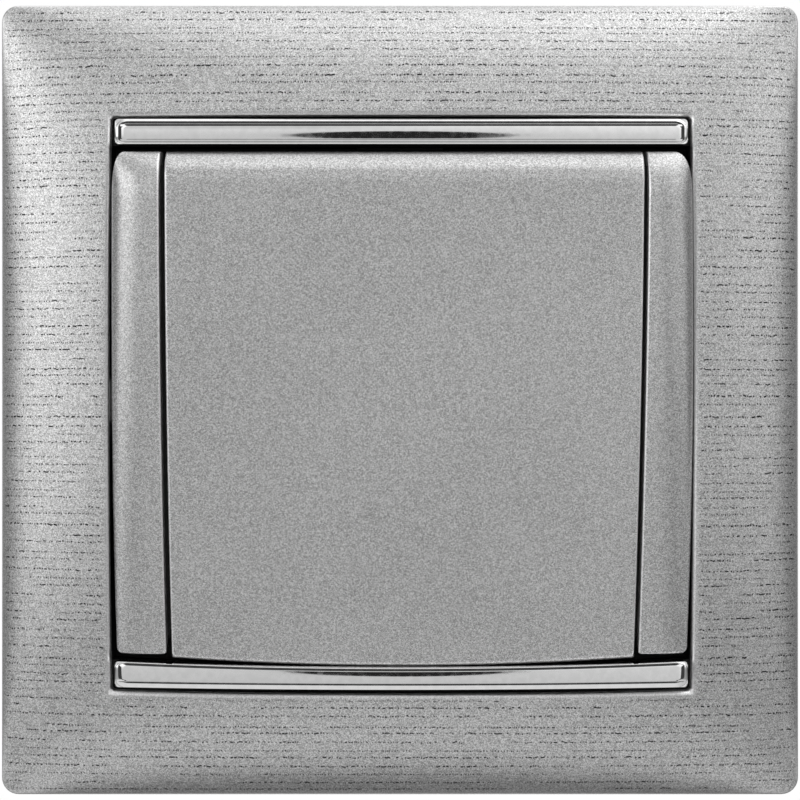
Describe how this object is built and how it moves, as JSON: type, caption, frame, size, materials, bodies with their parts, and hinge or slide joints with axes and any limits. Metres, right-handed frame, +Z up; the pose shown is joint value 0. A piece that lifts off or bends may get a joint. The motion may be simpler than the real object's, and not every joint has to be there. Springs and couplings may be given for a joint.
{
  "type": "rocker wall switch",
  "caption": "Flush rocker wall switch: a pillow-shaped metal surround and chrome trim strips frame a wide tilting key, with a clawed contact insert behind a steel plate.",
  "frame": {"origin": "centre of the fixing screw pattern, on the wall plane (back of the support plate)", "axes": "+Z up, +X to the right seen from the room, front facing -Y, +Y into the wall"},
  "size_m": [0.084, 0.034, 0.0832],
  "materials": {
    "struck_aluminium": "satin, struck with broken level lines",
    "silver_key": "satin metallic lacquer with a fine grain",
    "chrome_trim": "polished",
    "black_plastic": "matt",
    "grey_plastic": "matt moulded",
    "white_plastic": "moulded, fine spark texture",
    "plunger_plastic": "smooth",
    "button_plastic": "moulded",
    "zinc_steel": "zinc plated",
    "screw_steel": "zinc plated",
    "spring_steel": "bright",
    "terminal_brass": "stamped",
    "contact_silver": "dull silver alloy"
  },
  "bodies": {
    "insert": {"surround_frame": "struck_aluminium", "frame_liner": "black_plastic", "chrome_strip_top": "chrome_trim", "chrome_strip_bottom": "chrome_trim", "support_plate": "zinc_steel", "housing_cover": "grey_plastic", "cover_screws": "screw_steel", "base_housing": "white_plastic", "common_terminal": "terminal_brass", "load_terminal": "terminal_brass", "fixed_contact_tip": "contact_silver", "clamp_spring_common": "spring_steel", "clamp_spring_load": "spring_steel"},
    "key": {"key_panel": "silver_key", "key_wing_left": "silver_key", "key_wing_right": "silver_key", "key_carrier": "black_plastic", "rocker_cradle": "grey_plastic", "plunger_spring": "spring_steel"},
    "plunger": {"plunger": "plunger_plastic"},
    "seesaw": {"contact_seesaw": "terminal_brass", "moving_contact_tip": "contact_silver"},
    "release_common": {"release_button_common": "button_plastic"},
    "release_load": {"release_button_load": "button_plastic"},
    "left_screw": {"claw_screw_left": "screw_steel"},
    "right_screw": {"claw_screw_right": "screw_steel"},
    "left_claw": {"claw_left": "zinc_steel"},
    "right_claw": {"claw_right": "zinc_steel"}
  },
  "joints": [
    {"name": "key_tilt", "type": "hinge", "parent": "insert", "child": "key", "pos_m": [0, -0.0023, -0.0004], "axis": [-1, 0, 0], "range_deg": [0, 8]},
    {"name": "plunger_slide", "type": "slide", "parent": "key", "child": "plunger", "axis": [0, -0.9976, -0.0698], "range_m": [0, 0.0008], "stiffness_N_per_m": 250, "springref_m": -0.002, "deforming": ["plunger_spring"]},
    {"name": "contact_tilt", "type": "hinge", "parent": "insert", "child": "seesaw", "pos_m": [0, 0.0082, -0.0004], "axis": [-1, 0, 0], "range_deg": [-12, 0]},
    {"name": "release_common_press", "type": "slide", "parent": "insert", "child": "release_common", "axis": [0, -1, 0], "range_m": [0, 0.0009], "stiffness_N_per_m": 300, "springref_m": -0.001},
    {"name": "release_load_press", "type": "slide", "parent": "insert", "child": "release_load", "axis": [0, -1, 0], "range_m": [0, 0.0009], "stiffness_N_per_m": 300, "springref_m": -0.001},
    {"name": "left_screw_turn", "type": "hinge", "parent": "insert", "child": "left_screw", "pos_m": [-0.0232, 0.0095, 0], "axis": [0, 1, 0], "range_deg": [0, 2880]},
    {"name": "left_claw_swing", "type": "hinge", "parent": "insert", "child": "left_claw", "pos_m": [-0.0232, 0.0175, 0], "axis": [0, 0, -1], "range_deg": [0, 25]},
    {"name": "right_screw_turn", "type": "hinge", "parent": "insert", "child": "right_screw", "pos_m": [0.0232, 0.0095, 0], "axis": [0, 1, 0], "range_deg": [0, 2880]},
    {"name": "right_claw_swing", "type": "hinge", "parent": "insert", "child": "right_claw", "pos_m": [0.0232, 0.0175, 0], "axis": [0, 0, 1], "range_deg": [0, 25]}
  ],
  "couplings": [
    {"joint": "contact_tilt", "follows": "key_tilt", "ratio": -1.5},
    {"joint": "left_claw_swing", "follows": "left_screw_turn", "ratio": 0.00868},
    {"joint": "right_claw_swing", "follows": "right_screw_turn", "ratio": 0.00868}
  ]
}
